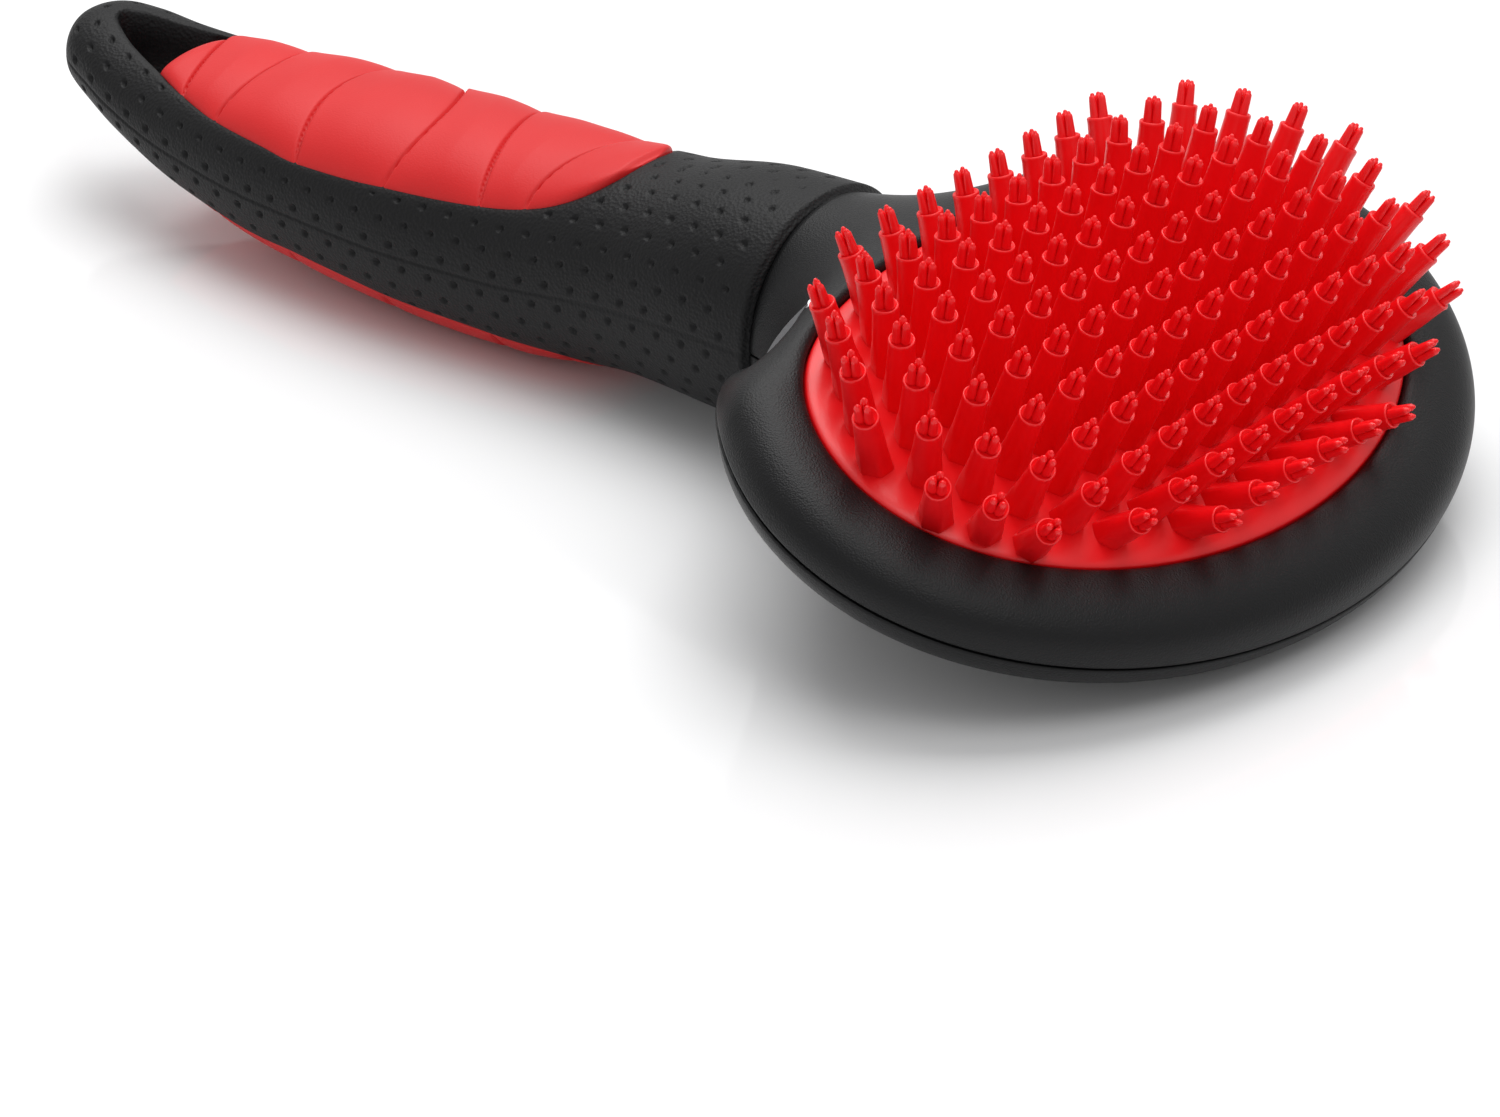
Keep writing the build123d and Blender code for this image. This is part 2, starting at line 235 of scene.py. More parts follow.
def vary_colour(nodes, links, source, socket, low, high):
    """Drives a colour socket between two colours with a texture."""
    ramp = nodes.new("ShaderNodeValToRGB")
    ramp.color_ramp.elements[0].position = 0.3
    ramp.color_ramp.elements[1].position = 0.7
    ramp.color_ramp.elements[0].color = (*low, 1)
    ramp.color_ramp.elements[1].color = (*high, 1)
    links.new(source, ramp.inputs["Fac"])
    links.new(ramp.outputs["Color"], socket)


def shell_plastic():
    """Matte black plastic with a fine moulded grain."""
    material, nodes, links, shader = new_material("shell_plastic", NEAR_BLACK, 0.36, 0.24)
    grain = texture(nodes, links, "ShaderNodeTexVoronoi", 4200)
    fine = texture(nodes, links, "ShaderNodeTexNoise", 5200, Detail=2)
    broad = texture(nodes, links, "ShaderNodeTexNoise", 60, Detail=3)
    bumps = [(grain.outputs["Distance"], 0.05, 0.8), (fine.outputs["Fac"], 0.05, 0.6)]
    add_bumps(nodes, links, shader, bumps)
    vary(nodes, links, broad.outputs["Fac"], shader.inputs["Roughness"], 0.38, 0.47)
    return material


def grip_rubber():
    """Soft black rubber with a leather grain."""
    material, nodes, links, shader = new_material("grip_rubber", NEAR_BLACK, 0.46, 0.24)
    leather = texture(nodes, links, "ShaderNodeTexVoronoi", 2300)
    fine = texture(nodes, links, "ShaderNodeTexNoise", 3600, Detail=3)
    broad = texture(nodes, links, "ShaderNodeTexNoise", 45, Detail=3)
    bumps = [(leather.outputs["Distance"], 0.09, 0.8), (fine.outputs["Fac"], 0.06, 0.5)]
    add_bumps(nodes, links, shader, bumps)
    vary(nodes, links, broad.outputs["Fac"], shader.inputs["Roughness"], 0.48, 0.6)
    return material


def insert_rubber():
    """Matte red rubber with a fine sparkling grain."""
    material, nodes, links, shader = new_material("insert_rubber", (0.6, 0.015, 0.015), 0.5, 0.3)
    fine = texture(nodes, links, "ShaderNodeTexNoise", 4200, Detail=2)
    broad = texture(nodes, links, "ShaderNodeTexNoise", 40, Detail=3)
    add_bumps(nodes, links, shader, [(fine.outputs["Fac"], 0.06, 0.5)])
    dark, light = (0.56, 0.012, 0.013), (0.61, 0.016, 0.017)
    vary_colour(nodes, links, broad.outputs["Fac"], shader.inputs["Base Color"], dark, light)
    shader.inputs["Subsurface Weight"].default_value = 0.12
    shader.inputs["Subsurface Radius"].default_value = (0.9, 0.2, 0.15)
    shader.inputs["Subsurface Scale"].default_value = 0.001
    return material


def bristle_rubber():
    """Glossy, slightly translucent red rubber."""
    material, nodes, links, shader = new_material("bristle_rubber", (0.86, 0.012, 0.018), 0.34, 0.5)
    broad = texture(nodes, links, "ShaderNodeTexNoise", 90, Detail=3)
    fine = texture(nodes, links, "ShaderNodeTexNoise", 1800, Detail=2)
    add_bumps(nodes, links, shader, [(fine.outputs["Fac"], 0.03, 0.3)])
    dark, light = (0.80, 0.003, 0.006), (0.86, 0.004, 0.008)
    vary_colour(nodes, links, broad.outputs["Fac"], shader.inputs["Base Color"], dark, light)
    shader.inputs["Subsurface Weight"].default_value = 0.25
    shader.inputs["Subsurface Radius"].default_value = (1.0, 0.18, 0.12)
    shader.inputs["Subsurface Scale"].default_value = 0.0015
    return material


def inner_plastic():
    """Plain dark moulded plastic inside the brush."""
    material, nodes, links, shader = new_material("inner_plastic", (0.05, 0.05, 0.055), 0.5)
    fine = texture(nodes, links, "ShaderNodeTexNoise", 900, Detail=2)
    vary(nodes, links, fine.outputs["Fac"], shader.inputs["Roughness"], 0.42, 0.55)
    return material


def screw_steel():
    """Plain steel with faint brushing."""
    material, nodes, links, shader = new_material("screw_steel", (0.6, 0.6, 0.62), 0.35)
    shader.inputs["Metallic"].default_value = 1.0
    fine = texture(nodes, links, "ShaderNodeTexNoise", 1500, Detail=2)
    vary(nodes, links, fine.outputs["Fac"], shader.inputs["Roughness"], 0.28, 0.42)
    return material


SHELL, GRIP, INSERT = shell_plastic(), grip_rubber(), insert_rubber()
BRISTLE, INNER, STEEL = bristle_rubber(), inner_plastic(), screw_steel()


# ---------------------------------------------------------------- handle surface
DIMPLE_ROW, DIMPLE_PITCH = 2.9, 4.0
DIMPLE_R, DIMPLE_DEPTH = 0.62, 0.45
DIMPLES_FROM, DIMPLES_TO = -96.5, 19.5
SEAM_DEPTH, SEAM_WIDTH, SEAM_FROM = 0.16, 0.22, -97
EDGE_DEPTH, EDGE_REACH = 0.45, 0.45  # softening along the edge of the window
COLLAR_END_DEPTH, COLLAR_END_LENGTH = 0.9, 1.3
FAR_FROM_EDGE = 9.0
TIP_LENGTH = 6.0
WINDOW_CLOSES_FROM, WINDOW_CLOSES_TO = -5.7, -5.0
HOLE_BULGE, GRIP_HOLLOW = 0.9, 0.5  # the loop's inner wall, round the hole and along the grip
HOLE_ENDS_FROM, HOLE_ENDS_TO = -83.5, -81.5
COLLAR_RETURN = ((0.0, 1.0), (0.0, 0.91), (-1.2, 0.9), (-3.0, 0.9))  # shift along x, share of the ring


def handle_shape(x):
    """Half width, middle height and half height of the handle at x."""
    reach = np.sqrt(np.clip(np.asarray(x, float) - HANDLE[0, 0], 0, None))
    known = np.sqrt(HANDLE[:, 0] - HANDLE[0, 0])
    return [curve_through(known, HANDLE[:, column], reach) for column in (1, 2, 3)]


def window_half_width(x):
    """Half width of the loop's window at x, 0 outside it."""
    inside = (x > WINDOW[0, 0]) & (x < WINDOW[-1, 0])
    known = np.arccos(np.clip(1 - 2 * (WINDOW[:, 0] - WINDOW[0, 0]) / (WINDOW[-1, 0] - WINDOW[0, 0]), -1, 1))
    along = np.arccos(np.clip(1 - 2 * (x - WINDOW[0, 0]) / (WINDOW[-1, 0] - WINDOW[0, 0]), -1, 1))
    return np.where(inside, curve_through(known, WINDOW[:, 1], along), 0)


def side_angle(y, half_width):
    """Angle round the section at which its half width has shrunk to y."""
    return np.arccos(np.clip(y / np.maximum(half_width, 1e-6), 0, 1) ** (1 / ROUNDNESS))


def surface_height(x, y):
    """Height of the handle's surface above its middle at (x, y)."""
    half_width, middle, half_height = handle_shape(x)
    return half_height * np.sin(side_angle(np.abs(y), half_width)) ** ROUNDNESS


def dimple_depth(x, arc, edge_gap):
    """Depth of the rows of dimples, from x, the distance round from the seam and the gap to the window."""
    row = np.floor(arc / DIMPLE_ROW)
    across = arc - (row + 0.5) * DIMPLE_ROW
    half_pitch = DIMPLE_PITCH / 2
    stagger = np.where(row % 2 == 0, 0.0, half_pitch)
    along = (x - stagger + half_pitch) % DIMPLE_PITCH - half_pitch
    distance = np.hypot(along, across)
    pit = DIMPLE_DEPTH * np.clip(1 - (distance / DIMPLE_R) ** 2, 0, 1) ** 1.5
    keep = smoothstep(0.9, 1.2, edge_gap) * (x > DIMPLES_FROM) * (x < DIMPLES_TO)
    return pit * keep


def overmould_patches():
    """The soft black skin of the handle: both flanks, the loop's inner wall and the collar's end."""
    along = np.concatenate([
        HANDLE[0, 0] + TIP_LENGTH * np.linspace(0, 1, 60, endpoint=False) ** 2,
        np.linspace(HANDLE[0, 0] + TIP_LENGTH, WINDOW_CLOSES_FROM, 360, endpoint=False),
        np.linspace(WINDOW_CLOSES_FROM, WINDOW_CLOSES_TO, 14, endpoint=False),
        np.linspace(WINDOW_CLOSES_TO, COLLAR_X, 112),
    ])
    around = np.linspace(0, 1, 190)
    x = along[:, None]
    half_width, middle, half_height = [value[:, None] for value in handle_shape(along)]
    window = window_half_width(x)
    top = side_angle(window, half_width)
    angle = top * (1 - 2 * around[None, :])
    y = half_width * np.abs(np.cos(angle)) ** ROUNDNESS
    z = middle + half_height * np.sign(np.sin(angle)) * np.abs(np.sin(angle)) ** ROUNDNESS
    # distance round the section from the side seam
    steps = np.hypot(np.diff(y, axis=1), np.diff(z, axis=1))
    arc = np.concatenate([np.zeros_like(x), np.cumsum(steps, axis=1)], axis=1)
    total = arc[:, -1:]
    from_seam = arc - arc[:, len(around) // 2][:, None]
    edge_gap = np.where(window > 0, np.minimum(arc, total - arc), FAR_FROM_EDGE)
    pits = dimple_depth(x, from_seam, edge_gap)
    seam = SEAM_DEPTH * np.exp(-((from_seam / SEAM_WIDTH) ** 2)) * (x > SEAM_FROM)
    softened = EDGE_DEPTH * np.exp(-edge_gap / EDGE_REACH)
    collar_end = COLLAR_END_DEPTH * smoothstep(COLLAR_X - COLLAR_END_LENGTH, COLLAR_X, x) ** 2
    inward = pits + seam + softened + collar_end
    normal_y = np.cos(angle) / np.maximum(half_width, 0.3)
    normal_z = np.sin(angle) / np.maximum(half_height, 0.3)
    length = np.hypot(normal_y, normal_z)
    y = np.maximum(y - inward * normal_y / length, 0)
    z = z - inward * normal_z / length
    y[:, [0, -1]] = np.where(window > 0, y[:, [0, -1]], 0)
    outer = np.stack([np.broadcast_to(x, y.shape), y, z], -1)

    # the inner wall joins the top edge to the bottom edge and bulges softly into the hole
    inner_x = (along > WINDOW[0, 0] - 0.4) & (along < WINDOW[-1, 0] + 0.3)
    down = np.linspace(0, 1, 26)[None, :, None]
    top_edge, bottom_edge = outer[inner_x][:, :1], outer[inner_x][:, -1:]
    wall = top_edge * (1 - down) + bottom_edge * down
    in_grip = smoothstep(HOLE_ENDS_FROM, HOLE_ENDS_TO, along[inner_x])[:, None]
    bulge = HOLE_BULGE * (1 - in_grip) - GRIP_HOLLOW * in_grip
    swell = bulge * (1 - np.abs(2 * down[..., 0] - 1) ** 3)
    wall[..., 1] = np.maximum(wall[..., 1] - swell, 0)

    # the collar's end turns in towards the neck
    ring = outer[-1]
    centre = np.array([0, 0, COLLAR_Z])
    depth, shrink = [np.array(column)[:, None, None] for column in zip(*COLLAR_RETURN)]
    end = np.empty((len(COLLAR_RETURN), len(ring), 3))
    end[..., 1:] = centre[1:] + (ring[None, :, 1:] - centre[1:]) * shrink
    end[..., 0] = ring[None, :, 0] + depth[..., 0]
    patches = []
    for side in (1, -1):
        flip = np.array([1, side, 1])
        patches.append((outer * flip, grid_faces(*outer.shape[:2])))
        patches.append((wall * flip, grid_faces(*wall.shape[:2])))
        patches.append((end * flip, grid_faces(*end.shape[:2])))
    return patches


# ---------------------------------------------------------------- grip insert
GROOVE_DEPTH, GROOVE_WIDTH = 1.15, 0.24
GROOVE_EASE_DEPTH, GROOVE_EASE_LENGTH = 0.4, 1.6
SWELL, SWELL_REACH = 0.35, 7
BELLY_DEPTH, BELLY_WIDTH = 0.6, 0.4
BELLY_EASE_DEPTH, BELLY_EASE_LENGTH, BELLY_SWELL = 0.2, 1.5, 0.1
INSERT_GAP, INSERT_END_GAP = 0.1, 0.12
MOUTH_LENGTH, MOUTH_DEPTH = 3.0, 2.6  # the grip rounds down into the hanging hole
CROWN, CROWN_SINK = 0.95, 0.55
NOSE_LENGTH, NOSE_SINK = 1.2, 0.6
INSERT_FLOOR, INSERT_LEAST = 0.02, 0.3
WALL_ROWS, WALL_HOLLOW = 14, 0.5


def groove_dip(x, y):
    """Depth of the grooves across the top of the grip, and the soft swell between them."""
    dip = np.zeros(np.broadcast(x, y).shape)
    nearest = np.full(dip.shape, 99.0)
    for across, along in GROOVES:
        fit = np.polyfit(across, along, 2)
        distance = x - np.polyval(fit, y)
        # steep on the side towards the head, easing out on the other
        ease = np.exp(-np.abs(distance + 0.5) / GROOVE_EASE_LENGTH) * (distance < 0.4)
        dip = dip + GROOVE_DEPTH * np.exp(-((distance / GROOVE_WIDTH) ** 2)) + GROOVE_EASE_DEPTH * ease
        nearest = np.minimum(nearest, np.abs(distance))
    return dip - SWELL * smoothstep(0, SWELL_REACH, nearest)


def belly_dip(x):
    """Depth of the grooves across the underside of the grip."""
    dip = np.zeros_like(x)
    for at in BELLY_GROOVES:
        ease = np.exp(-np.abs(x - at) / BELLY_EASE_LENGTH)
        dip = dip + BELLY_DEPTH * np.exp(-(((x - at) / BELLY_WIDTH) ** 2)) + BELLY_EASE_DEPTH * ease
    return dip - BELLY_SWELL


def insert_patches():
    """The red grip insert: a crowned top, a belly, and the walls between them."""
    end = WINDOW[-1, 0] - INSERT_END_GAP
    along = np.concatenate([
        INSERT_START + MOUTH_LENGTH * np.linspace(0, 1, 26, endpoint=False) ** 2,
        np.linspace(INSERT_START + MOUTH_LENGTH, end - 1.0, 300, endpoint=False),
        end - 1.0 * np.linspace(1, 0, 22) ** 2,
    ])
    across = np.sin(np.linspace(-pi / 2, pi / 2, 130))
    x = along[:, None] * np.ones_like(across)[None, :]
    half = np.maximum(window_half_width(along) - INSERT_GAP, 0.0)[:, None]
    y = half * across[None, :]
    middle = handle_shape(along)[1][:, None]
    rise = surface_height(x, y)
    rim = np.clip(1 - np.abs(across[None, :]) ** 14, 0, 1) ** 0.5
    nose = 1 - smoothstep(0, NOSE_LENGTH, end - x)
    lip = CROWN * rim - CROWN_SINK - NOSE_SINK * nose
    into_mouth = np.clip((INSERT_START + MOUTH_LENGTH - x) / MOUTH_LENGTH, 0, 1)
    mouth = MOUTH_DEPTH * (1 - np.sqrt(np.clip(1 - into_mouth**2, 0, 1)))
    top = middle + rise + lip - groove_dip(x, y) * rim - mouth
    belly = middle - rise - 0.4 * lip + belly_dip(x) * rim + mouth
    belly = np.maximum(belly, INSERT_FLOOR)
    belly = np.minimum(belly, top - INSERT_LEAST)
    upper, lower = np.stack([x, y, top], -1), np.stack([x, y, belly], -1)
    patches = [(upper, grid_faces(*x.shape)), (lower, grid_faces(*x.shape))]
    for edge in ((slice(None), 0), (slice(None), -1), (0, slice(None)), (-1, slice(None))):
        wall = np.stack([upper[edge] * (1 - t) + lower[edge] * t for t in np.linspace(0, 1, WALL_ROWS)])
        if edge[0] == 0:
            wall[..., 0] -= (WALL_HOLLOW * np.sin(np.linspace(0, pi, WALL_ROWS)) ** 0.6)[:, None]
        patches.append((wall, grid_faces(*wall.shape[:2])))
    return patches


# ---------------------------------------------------------------- head shells
AROUND = np.linspace(0, WHOLE, 720, endpoint=False)
FROM_NECK = np.abs(pi - AROUND)
SIDE = np.where(np.sin(AROUND) >= 0, 1.0, -1.0)
COLLAR_SPAN, SHOULDER_SPAN = radians(33), radians(60)
NECK_R = 14.7
NECK_START_X = COLLAR_X + 0.25
SHELL_GAP = 0.22  # each shell stands off the parting line
SHOULDER_PULL_X, SHOULDER_PULL_Y = 14, 19
SLOT_PULL = np.array([9.0, 2.6, 0.6])
ROLL, SHOULDER_PINCH, NECK_WIDENING, NECK_DROP = 6.3, 1.5, 0.7, 2.2
RIM_BULGE, SHOULDER_TUCK, RIM_RISE = 0.7, 0.9, 3.5
CREST_GROWTH, CREST_HEIGHT = 1.6, 6.3
LIP_GAP = 0.18
QUARTER_ROUND = 0.5523  # reach of a cubic curve's handle for a quarter of a circle


def parting_curve(half, gap):
    """Edge of the upper (half 1) or lower (half -1) shell: rim, shoulder and half of the neck's ring."""
    level = np.full_like(AROUND, gap * half)
    rim = from_head(np.stack([RIM_X * np.cos(AROUND), RIM_Y * np.sin(AROUND), level], -1))
    bend = pi - SHOULDER_SPAN
    shoulder = from_head([RIM_X * cos(bend), RIM_Y * sin(bend), gap * half])
    leaving = from_head([
        RIM_X * cos(bend) - SHOULDER_PULL_X * sin(bend),
        RIM_Y * sin(bend) + SHOULDER_PULL_Y * cos(bend),
        gap * half,
    ])
    slot = np.array([NECK_START_X, NECK_R, COLLAR_Z + gap * half])
    slot_out = slot + SLOT_PULL
    t = np.clip((FROM_NECK - COLLAR_SPAN) / (SHOULDER_SPAN - COLLAR_SPAN), 0, 1)[:, None]
    bezier = (1 - t) ** 3 * slot + 3 * t * (1 - t) ** 2 * slot_out
    bezier = bezier + 3 * t * t * (1 - t) * leaving + t**3 * shoulder
    bezier[:, 1] *= SIDE
    turn = np.clip(FROM_NECK / COLLAR_SPAN, 0, 1) * pi / 2
    collar = np.stack([
        np.full_like(AROUND, NECK_START_X),
        SIDE * NECK_R * np.sin(turn),
        COLLAR_Z + half * (gap + (NECK_R - gap) * np.cos(turn)),
    ], -1)
    edge = np.where((FROM_NECK < SHOULDER_SPAN)[:, None], bezier, rim)
    return np.where((FROM_NECK < COLLAR_SPAN)[:, None], collar, edge)


def bezier_sheet(p0, p1, p2, p3, count):
    """Rows of points along cubic curves from p0 to p3."""
    t = np.linspace(0, 1, count)[:, None, None]
    return (1 - t) ** 3 * p0 + 3 * t * (1 - t) ** 2 * p1 + 3 * t * t * (1 - t) * p2 + t**3 * p3


def pad_oval(growth, height, share=1.0):
    """A loop along the pad's outline: oval towards the nose, blunter towards the neck."""
    along = (PAD_X + growth) * np.cos(AROUND)
    blunt = along / (1 + (np.abs(along) / (PAD_NECK_LIMIT + growth)) ** 4) ** 0.25
    along = np.where(along < 0, blunt, along)
    across = (PAD_Y + growth) * np.sin(AROUND)
    return from_head(np.stack([PAD_SHIFT + share * along, share * across, np.full_like(AROUND, height)], -1))


def outward():
    """Directions in the head plane, square to the rim."""
    direction = np.stack([np.cos(AROUND) / RIM_X, np.sin(AROUND) / RIM_Y, np.zeros_like(AROUND)], -1)
    direction /= np.linalg.norm(direction, axis=1)[:, None]
    return direction[:, :1] * HEAD_X + direction[:, 1:2] * HEAD_Y


def tucked(edge, half):
    """Rows that turn an edge in towards the inside of the shell."""
    inwards = HEAD_ORIGIN - edge
    inwards /= np.linalg.norm(inwards, axis=1)[:, None]
    neck = 1 - smoothstep(COLLAR_SPAN - 0.05, COLLAR_SPAN + 0.12, FROM_NECK)[:, None]
    to_axis = np.array([0, 0, COLLAR_Z]) - edge * np.array([0, 1, 1])
    to_axis /= np.linalg.norm(to_axis, axis=1)[:, None]
    direction = inwards * (1 - neck) + to_axis * neck
    return np.stack([edge, edge + 0.25 * direction, edge + 1.6 * direction])


LIP_PROFILE = ((0.0, 3.2), (0.0, 5.5), (0.1, 5.85), (0.4, 6.15), (0.9, 6.28))


def bezel_patches():
    """The bezel: a rolled rim round the pad that flows into the upper half of the neck."""
    edge = parting_curve(1, SHELL_GAP)
    out = outward()
    lip = [pad_oval(LIP_GAP + growth, height) for growth, height in LIP_PROFILE]
    crest = pad_oval(CREST_GROWTH, CREST_HEIGHT)
    near_neck = 1 - smoothstep(COLLAR_SPAN - 0.1, SHOULDER_SPAN + 0.1, FROM_NECK)[:, None]
    shoulder = 1 - smoothstep(radians(58), radians(100), FROM_NECK)[:, None]
    arrive_rim = edge + (RIM_BULGE - SHOULDER_TUCK * shoulder) * out + RIM_RISE * HEAD_Z
    arrive_neck = edge * np.array([1.0, 1.3, 1.03]) + np.array([9.0, 0, 0])
    width = ROLL - SHOULDER_PINCH * shoulder + NECK_WIDENING * near_neck
    leave = crest + out * width - np.array([0, 0, NECK_DROP]) * near_neck
    arrive = arrive_rim * (1 - near_neck) + arrive_neck * near_neck
    roll = bezier_sheet(crest, leave, arrive, edge, 46)
    rows = np.concatenate([np.stack(lip), roll, tucked(edge, 1)[1:]])
    return [(rows, grid_faces(*rows.shape[:2], wrap=True))]


def back_patches():
    """The domed back, flowing into the lower half of the neck."""
    edge = parting_curve(-1, SHELL_GAP)
    out = outward()
    pole = np.broadcast_to(from_head([0, 0, -BACK_DEPTH + 0.05]), edge.shape)
    near_neck = 1 - smoothstep(COLLAR_SPAN - 0.1, SHOULDER_SPAN + 0.25, FROM_NECK)[:, None]
    leave_rim = edge - QUARTER_ROUND * (BACK_DEPTH - 0.4) * HEAD_Z
    leave_neck = edge + np.array([9.0, 0, 0]) * near_neck
    leave = leave_rim * (1 - near_neck) + leave_neck * near_neck
    rim = np.stack([np.cos(AROUND) * RIM_X, np.sin(AROUND) * RIM_Y, np.zeros_like(AROUND)], -1)
    arrive_rim = pole + QUARTER_ROUND * (from_head(rim) - HEAD_ORIGIN)
    arrive_neck = np.stack([np.full_like(AROUND, 44.0), edge[:, 1] * 0.9, np.full_like(AROUND, 3.6)], -1)
    arrive = arrive_rim * (1 - near_neck) + arrive_neck * near_neck
    dome = bezier_sheet(edge, leave, arrive, pole, 60)
    rows = np.concatenate([tucked(edge, -1)[:0:-1], dome])
    rows[..., 2] = np.maximum(rows[..., 2], 0.0)
    return [(rows, grid_faces(*rows.shape[:2], wrap=True))]


# ---------------------------------------------------------------- pad and bristles
ROW_COUNTS = (8, 11, 12, 13, 14, 13, 14, 13, 12, 9, 6)
PITCH_X, PITCH_Y, CROWDING, SHIFT = 4.75, 6.28, 0.0035, 1.4
TIP_PITCH_X, TIP_PITCH_Y, TIP_HEIGHT = 5.46, 6.3, 21.0
SHOULDER_R, ROOT_R, PRONG_LENGTH = 1.55, 2.1, 2.9
PRONG_DIRECTIONS = (0.0, WHOLE / 3, -WHOLE / 3)
# height above the shoulder, radius, distance from the bristle's axis
PRONG_STAGES = (
    (-0.4, 0.6, 0.56),
    (0.5, 0.57, 0.58),
    (1.2, 0.52, 0.6),
    (2.0, 0.46, 0.63),
    (2.4, 0.42, 0.64),
    (2.52, 0.34, 0.64),
    (2.58, 0.27, 0.64),
    (2.72, 0.25, 0.64),
    (2.84, 0.17, 0.64),
    (PRONG_LENGTH, 0.0, 0.64),
)
# share of the shaft's length, radius, squareness of the hexagon, from root to shoulder
SHAFT_STAGES = (
    (-0.14, ROOT_R + 0.15, 1.0),
    (0.0, ROOT_R + 0.08, 1.0),
    (0.03, ROOT_R, 1.0),
    (0.3, 1.95, 0.95),
    (0.4, 1.8, 0.4),
    (0.45, 1.74, 0.0),
    (0.7, 1.6, 0.0),
    (0.9, 1.52, 0.0),
    (0.955, SHOULDER_R, 0.0),
    (0.98, SHOULDER_R, 0.0),
    (0.995, 1.5, 0.0),
    (1.0, 1.42, 0.0),
)
SHAFT_TOP = ((1.34, -0.02), (1.26, -0.16), (0.0, -0.2))  # radius, height above the shoulder


def dome_height(x, y):
    """Height of the pad's face above the rim."""
    inside = np.clip(1 - ((x - PAD_SHIFT) / PAD_X) ** 2 - (y / PAD_Y) ** 2, 0, 1)
    return PAD_EDGE_Z + DOME_HEIGHT * inside**0.45


def bristle_ends():
    """Root and tip of every bristle in the head frame."""
    row = np.repeat(np.arange(len(ROW_COUNTS)) - 5.0, ROW_COUNTS)
    place = np.concatenate([np.arange(count) - (count - 1) / 2 for count in ROW_COUNTS])
    root_x = SHIFT + PITCH_X * row * (1 - CROWDING * row**2)
    root_y = PITCH_Y * place
    roots = np.stack([root_x, root_y, dome_height(root_x, root_y)], -1)
    drop = 0.16 * row**2 - 0.0875 * place**2 + 0.0038 * place**4 + 0.0069 * (row * place) ** 2
    drop += 0.0145 * row * place**2 + 0.005 * row**3 + 0.0019 * row**4
    tips = np.stack([
        SHIFT + TIP_PITCH_X * row * (1 + 0.0002 * row**2 + 0.0025 * place**2),
        TIP_PITCH_Y * place * (1 + 0.0033 * place**2 + 0.0016 * row**2),
        TIP_HEIGHT - drop,
    ], -1)
    return roots, tips


def level_ring(radius, turn, height, middle=(0.0, 0.0)):
    """A level ring of points round a middle."""
    x = middle[0] + radius * np.cos(turn)
    y = middle[1] + radius * np.sin(turn)
    return np.stack([x, y, np.full_like(turn, height)], -1)


def bristle_shaft(length):
    """One shaft with a hexagonal foot and a rounded shoulder, standing on the origin."""
    turn = np.linspace(0, WHOLE, 36, endpoint=False)
    hexagon = cos(pi / 6) / np.cos((turn + pi / 6) % (pi / 3) - pi / 6)
    rows = []
    for share, radius, flatness in SHAFT_STAGES:
        rows.append(level_ring(radius * (1 + (hexagon - 1) * flatness * 0.8), turn, share * length))
    for radius, height in SHAFT_TOP:
        rows.append(level_ring(radius, turn, length + height))
    rows = np.stack(rows)
    return rows.reshape(-1, 3), grid_faces(*rows.shape[:2], wrap=True)


def prong(direction):
    """One rounded prong above the shoulder, leaning out a little."""
    turn = np.linspace(0, WHOLE, 16, endpoint=False)
    rows = []
    for height, radius, lean in PRONG_STAGES:
        rows.append(level_ring(radius, turn, height, (lean * cos(direction), lean * sin(direction))))
    rows = np.stack(rows)
    return rows.reshape(-1, 3), grid_faces(*rows.shape[:2], wrap=True)


def bristle_patches():
    """All bristles, each turned and stretched between its root and its tip."""
    patches = []
    for root, tip in zip(*bristle_ends()):
        lean = tip - root
        total = np.linalg.norm(lean)
        lean /= total
        across = np.cross([0, 1, 0], lean)
        across /= np.linalg.norm(across)
        basis = np.stack([across, np.cross(lean, across), lean])
        shaft_length = total - PRONG_LENGTH
        shaft, faces = bristle_shaft(shaft_length)
        patches.append((from_head(root + shaft @ basis), faces))
        for direction in PRONG_DIRECTIONS:
            points, faces = prong(direction)
            points = points + np.array([0, 0, shaft_length])
            patches.append((from_head(root + points @ basis), faces))
    return patches


def pad_patches():
    """The pad's domed face and the edge that drops into the bezel."""
    rows = []
    for share in np.sin(np.linspace(0, pi / 2, 60)):
        rows.append(pad_oval(0, PAD_EDGE_Z + DOME_HEIGHT * max(1 - share**2, 0) ** 0.45, share))
    for growth, height, share in ((0, 3.4, 1), (1.8, 3.4, 1), (1.8, 2.3, 1), (0, 2.3, 0)):
        rows.append(pad_oval(growth, height, share))
    rows = np.stack(rows)
    return [(rows, grid_faces(*rows.shape[:2], wrap=True))]


# ---------------------------------------------------------------- build the pieces
make_piece("overmould_skin", overmould_patches(), GRIP, "handle_overmould")
make_piece("grip_insert_skin", insert_patches(), INSERT, "grip_insert")
make_piece("bezel_skin", bezel_patches(), SHELL, "head_bezel")
make_piece("back_skin", back_patches(), SHELL, "head_back_shell")
make_piece("pad_skin", pad_patches(), BRISTLE, "bristle_pad")
make_piece("bristles", bristle_patches(), BRISTLE, weld=0.0005)

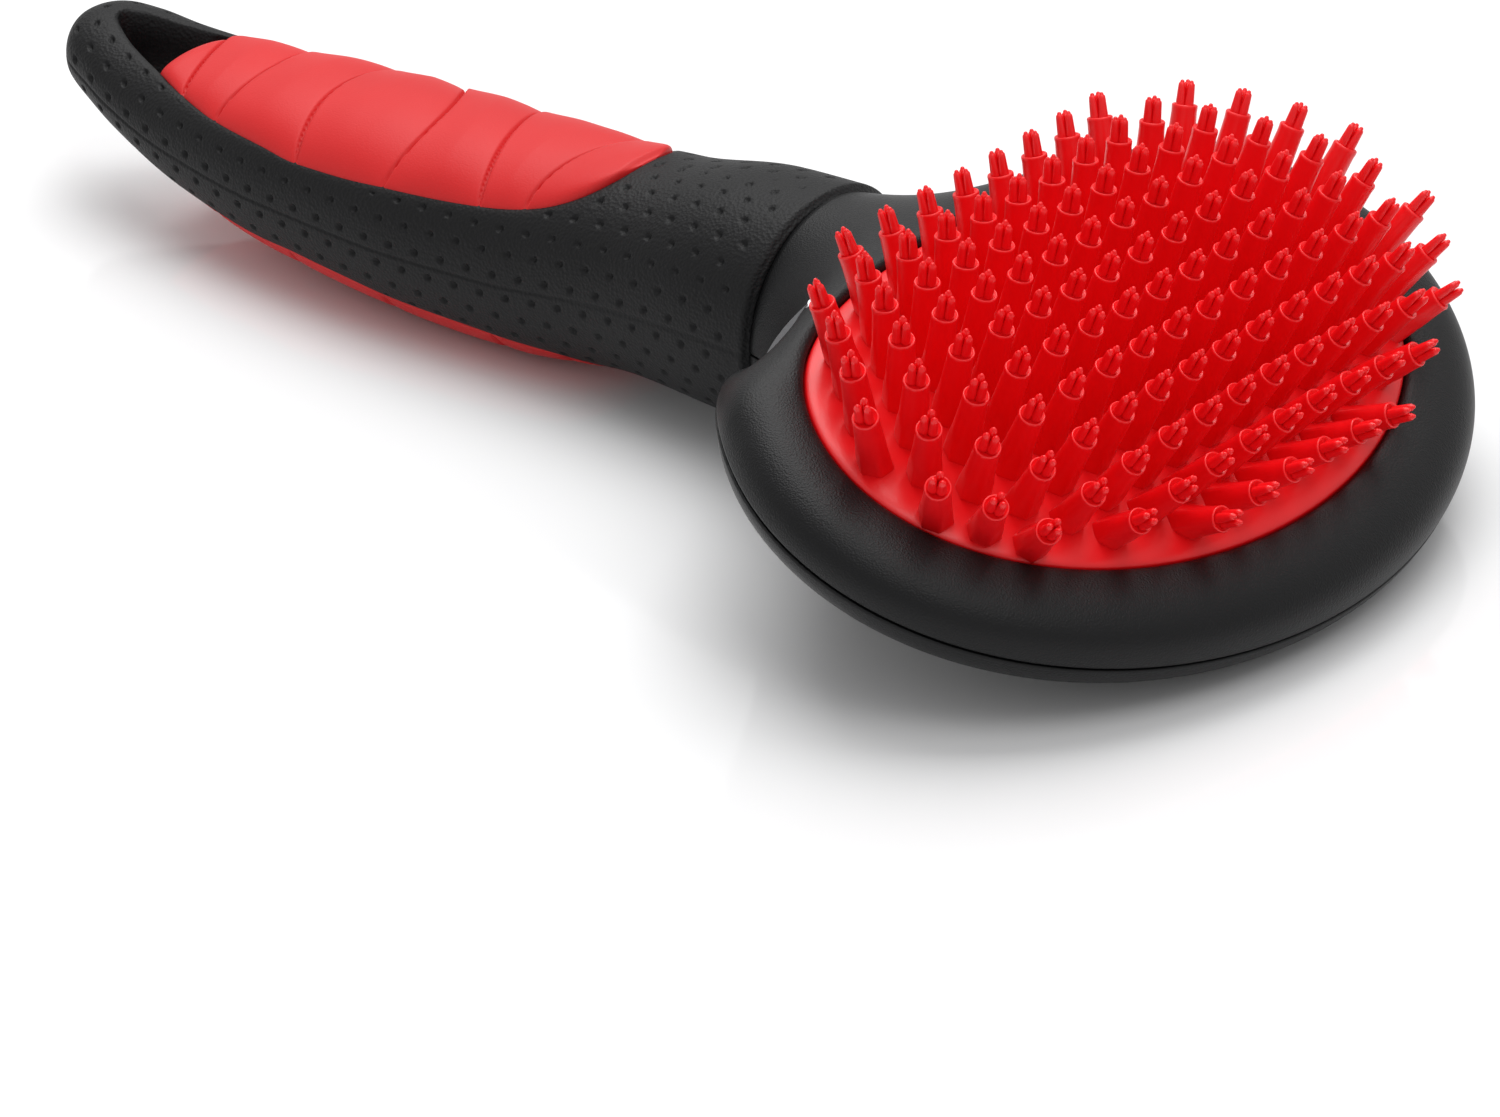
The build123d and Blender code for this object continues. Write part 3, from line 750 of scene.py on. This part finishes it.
CARRIED = {
    "pad_plate": INNER,
    "handle_core": INNER,
    "plate_screws": STEEL,
    "neck_screws": STEEL,
    "tang_pin": STEEL,
}
for node, material in CARRIED.items():
    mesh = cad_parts[node].data
    mesh.materials.clear()
    mesh.materials.append(material)


# ---------------------------------------------------------------- table, light and camera
def make_table():
    """A white glossy table top."""
    material, nodes, links, shader = new_material("table_white", (0.86, 0.86, 0.865), 0.08, 0.5)
    broad = texture(nodes, links, "ShaderNodeTexNoise", 3)
    vary(nodes, links, broad.outputs["Fac"], shader.inputs["Roughness"], 0.06, 0.1)
    bpy.ops.mesh.primitive_plane_add(size=6, location=(0, 0, 0))
    table = bpy.context.object
    table.name = "table"
    table.data.materials.append(material)


def area_light(name, place, target, size, power):
    """A square soft light aimed at a point."""
    light = bpy.data.lights.new(name, "AREA")
    light.size = size
    light.energy = power
    holder = bpy.data.objects.new(name, light)
    holder.location = place
    aim = np.array(target) - np.array(place)
    holder.rotation_euler = Vector(aim).to_track_quat("-Z", "Y").to_euler()
    bpy.context.scene.collection.objects.link(holder)


def make_world():
    """An even white surround."""
    world = bpy.data.worlds.new("white_room")
    world.use_nodes = True
    background = world.node_tree.nodes["Background"]
    background.inputs["Color"].default_value = (1, 1, 1, 1)
    background.inputs["Strength"].default_value = 0.62
    bpy.context.scene.world = world


CAMERA_PLACE = (0.52245, -0.61877, 0.416)
CAMERA_TILT, CAMERA_TURN = radians(61.5), radians(39.62)


def make_camera():
    """The view along the brush from the nose, a long lens from above."""
    lens = bpy.data.cameras.new("camera")
    lens.lens = 180
    lens.sensor_width = 36
    lens.clip_end = 20
    camera = bpy.data.objects.new("camera", lens)
    camera.location = CAMERA_PLACE
    camera.rotation_euler = (CAMERA_TILT, 0, CAMERA_TURN)
    bpy.context.scene.collection.objects.link(camera)
    bpy.context.scene.camera = camera


make_table()
make_world()
make_camera()
area_light("top_soft", (-0.25, 0.3, 0.9), (0, 0, 0), 0.9, 8.5)
area_light("front_fill", (0.5, -0.2, 1.0), (0.05, 0, 0), 0.6, 2.5)
bpy.context.scene.view_settings.view_transform = "Standard"
